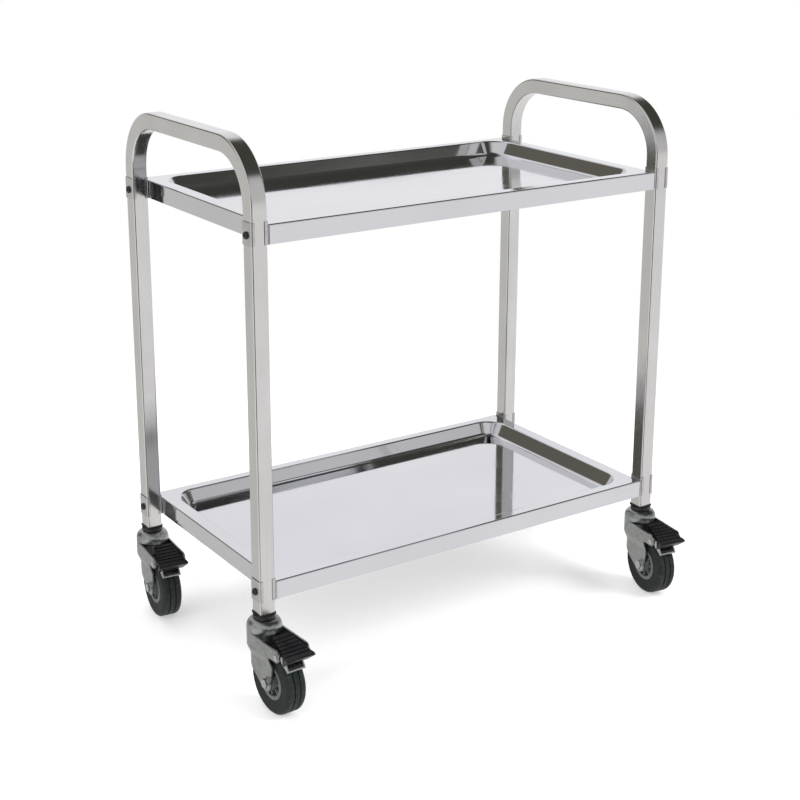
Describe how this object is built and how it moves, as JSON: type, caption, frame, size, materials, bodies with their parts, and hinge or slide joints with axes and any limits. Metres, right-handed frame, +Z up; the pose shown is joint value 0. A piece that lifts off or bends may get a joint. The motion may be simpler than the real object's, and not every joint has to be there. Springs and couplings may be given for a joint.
{
  "type": "two-tier bar cart",
  "caption": "Two-tier bar cart: bent square-tube end frames with push handles, recessed sheet-steel trays and braked swivel casters.",
  "frame": {"origin": "on the floor, under the middle of the trolley with its casters trailing forwards", "axes": "+Z up, X from end frame to end frame, -Y towards the front, where the casters trail"},
  "size_m": [0.7882, 0.5004, 0.825],
  "materials": {
    "tube_steel": "satin polished",
    "tray_steel": "bright polished",
    "clip_steel": "satin",
    "zinc_steel": "bright zinc plated",
    "fork_zinc": "zinc plated, semi-matt",
    "dark_steel": "black oxide",
    "black_plastic": "moulded, semi-matt",
    "grey_plastic": "moulded",
    "grey_rubber": "matt"
  },
  "bodies": {
    "frame": {"end_frame_left": "tube_steel", "end_frame_right": "tube_steel", "upper_tray": "tray_steel", "lower_tray": "tray_steel", "upper_outer_clips": "clip_steel", "upper_inner_clips": "clip_steel", "lower_outer_clips": "clip_steel", "lower_inner_clips": "clip_steel", "shelf_bolts": "dark_steel", "shelf_washers": "zinc_steel", "shelf_nuts": "zinc_steel", "caster_stems": "zinc_steel", "stem_nuts": "zinc_steel", "upper_races": "dark_steel", "lower_races": "zinc_steel", "front_left_leg_plug": "black_plastic", "rear_left_leg_plug": "black_plastic", "front_right_leg_plug": "black_plastic", "rear_right_leg_plug": "black_plastic"},
    "front_left_swivel": {"front_left_fork": "fork_zinc", "front_left_swivel_balls": "zinc_steel", "front_left_axle_bolt": "zinc_steel", "front_left_axle_nut": "zinc_steel", "front_left_axle_sleeve": "zinc_steel", "front_left_brake_pin": "zinc_steel"},
    "front_left_wheel": {"front_left_hub": "grey_plastic", "front_left_tyre": "grey_rubber"},
    "front_left_brake": {"front_left_brake_lever": "zinc_steel", "front_left_brake_pedal": "black_plastic"},
    "rear_left_swivel": {"rear_left_fork": "fork_zinc", "rear_left_swivel_balls": "zinc_steel", "rear_left_axle_bolt": "zinc_steel", "rear_left_axle_nut": "zinc_steel", "rear_left_axle_sleeve": "zinc_steel", "rear_left_brake_pin": "zinc_steel"},
    "rear_left_wheel": {"rear_left_hub": "grey_plastic", "rear_left_tyre": "grey_rubber"},
    "rear_left_brake": {"rear_left_brake_lever": "zinc_steel", "rear_left_brake_pedal": "black_plastic"},
    "front_right_swivel": {"front_right_fork": "fork_zinc", "front_right_swivel_balls": "zinc_steel", "front_right_axle_bolt": "zinc_steel", "front_right_axle_nut": "zinc_steel", "front_right_axle_sleeve": "zinc_steel", "front_right_brake_pin": "zinc_steel"},
    "front_right_wheel": {"front_right_hub": "grey_plastic", "front_right_tyre": "grey_rubber"},
    "front_right_brake": {"front_right_brake_lever": "zinc_steel", "front_right_brake_pedal": "black_plastic"},
    "rear_right_swivel": {"rear_right_fork": "fork_zinc", "rear_right_swivel_balls": "zinc_steel", "rear_right_axle_bolt": "zinc_steel", "rear_right_axle_nut": "zinc_steel", "rear_right_axle_sleeve": "zinc_steel", "rear_right_brake_pin": "zinc_steel"},
    "rear_right_wheel": {"rear_right_hub": "grey_plastic", "rear_right_tyre": "grey_rubber"},
    "rear_right_brake": {"rear_right_brake_lever": "zinc_steel", "rear_right_brake_pedal": "black_plastic"}
  },
  "joints": [
    {"name": "front_left_swivel", "type": "hinge", "parent": "frame", "child": "front_left_swivel", "pos_m": [-0.3625, -0.152, 0.13], "axis": [0, 0, 1], "continuous": true},
    {"name": "front_left_roll", "type": "hinge", "parent": "front_left_swivel", "child": "front_left_wheel", "pos_m": [-0.36056, -0.18895, 0.05], "axis": [0.9986, 0.0523, 0], "continuous": true},
    {"name": "front_left_brake_tread", "type": "hinge", "parent": "front_left_swivel", "child": "front_left_brake", "pos_m": [-0.35884, -0.2219, 0.105], "axis": [0.9986, 0.0523, 0], "range_deg": [0, 14]},
    {"name": "rear_left_swivel", "type": "hinge", "parent": "frame", "child": "rear_left_swivel", "pos_m": [-0.3625, 0.223, 0.13], "axis": [0, 0, 1], "continuous": true},
    {"name": "rear_left_roll", "type": "hinge", "parent": "rear_left_swivel", "child": "rear_left_wheel", "pos_m": [-0.36573, 0.18614, 0.05], "axis": [0.9962, -0.0872, 0], "continuous": true},
    {"name": "rear_left_brake_tread", "type": "hinge", "parent": "rear_left_swivel", "child": "rear_left_brake", "pos_m": [-0.3686, 0.15327, 0.105], "axis": [0.9962, -0.0872, 0], "range_deg": [0, 14]},
    {"name": "front_right_swivel", "type": "hinge", "parent": "frame", "child": "front_right_swivel", "pos_m": [0.3625, -0.152, 0.13], "axis": [0, 0, 1], "continuous": true},
    {"name": "front_right_roll", "type": "hinge", "parent": "front_right_swivel", "child": "front_right_wheel", "pos_m": [0.35735, -0.18864, 0.05], "axis": [0.9903, -0.1392, 0], "continuous": true},
    {"name": "front_right_brake_tread", "type": "hinge", "parent": "front_right_swivel", "child": "front_right_brake", "pos_m": [0.35276, -0.22132, 0.105], "axis": [0.9903, -0.1392, 0], "range_deg": [0, 14]},
    {"name": "rear_right_swivel", "type": "hinge", "parent": "frame", "child": "rear_right_swivel", "pos_m": [0.3625, 0.223, 0.13], "axis": [0, 0, 1], "continuous": true},
    {"name": "rear_right_roll", "type": "hinge", "parent": "rear_right_swivel", "child": "rear_right_wheel", "pos_m": [0.36185, 0.18601, 0.05], "axis": [0.9998, -0.0175, 0], "continuous": true},
    {"name": "rear_right_brake_tread", "type": "hinge", "parent": "rear_right_swivel", "child": "rear_right_brake", "pos_m": [0.36128, 0.15301, 0.105], "axis": [0.9998, -0.0175, 0], "range_deg": [0, 14]}
  ]
}
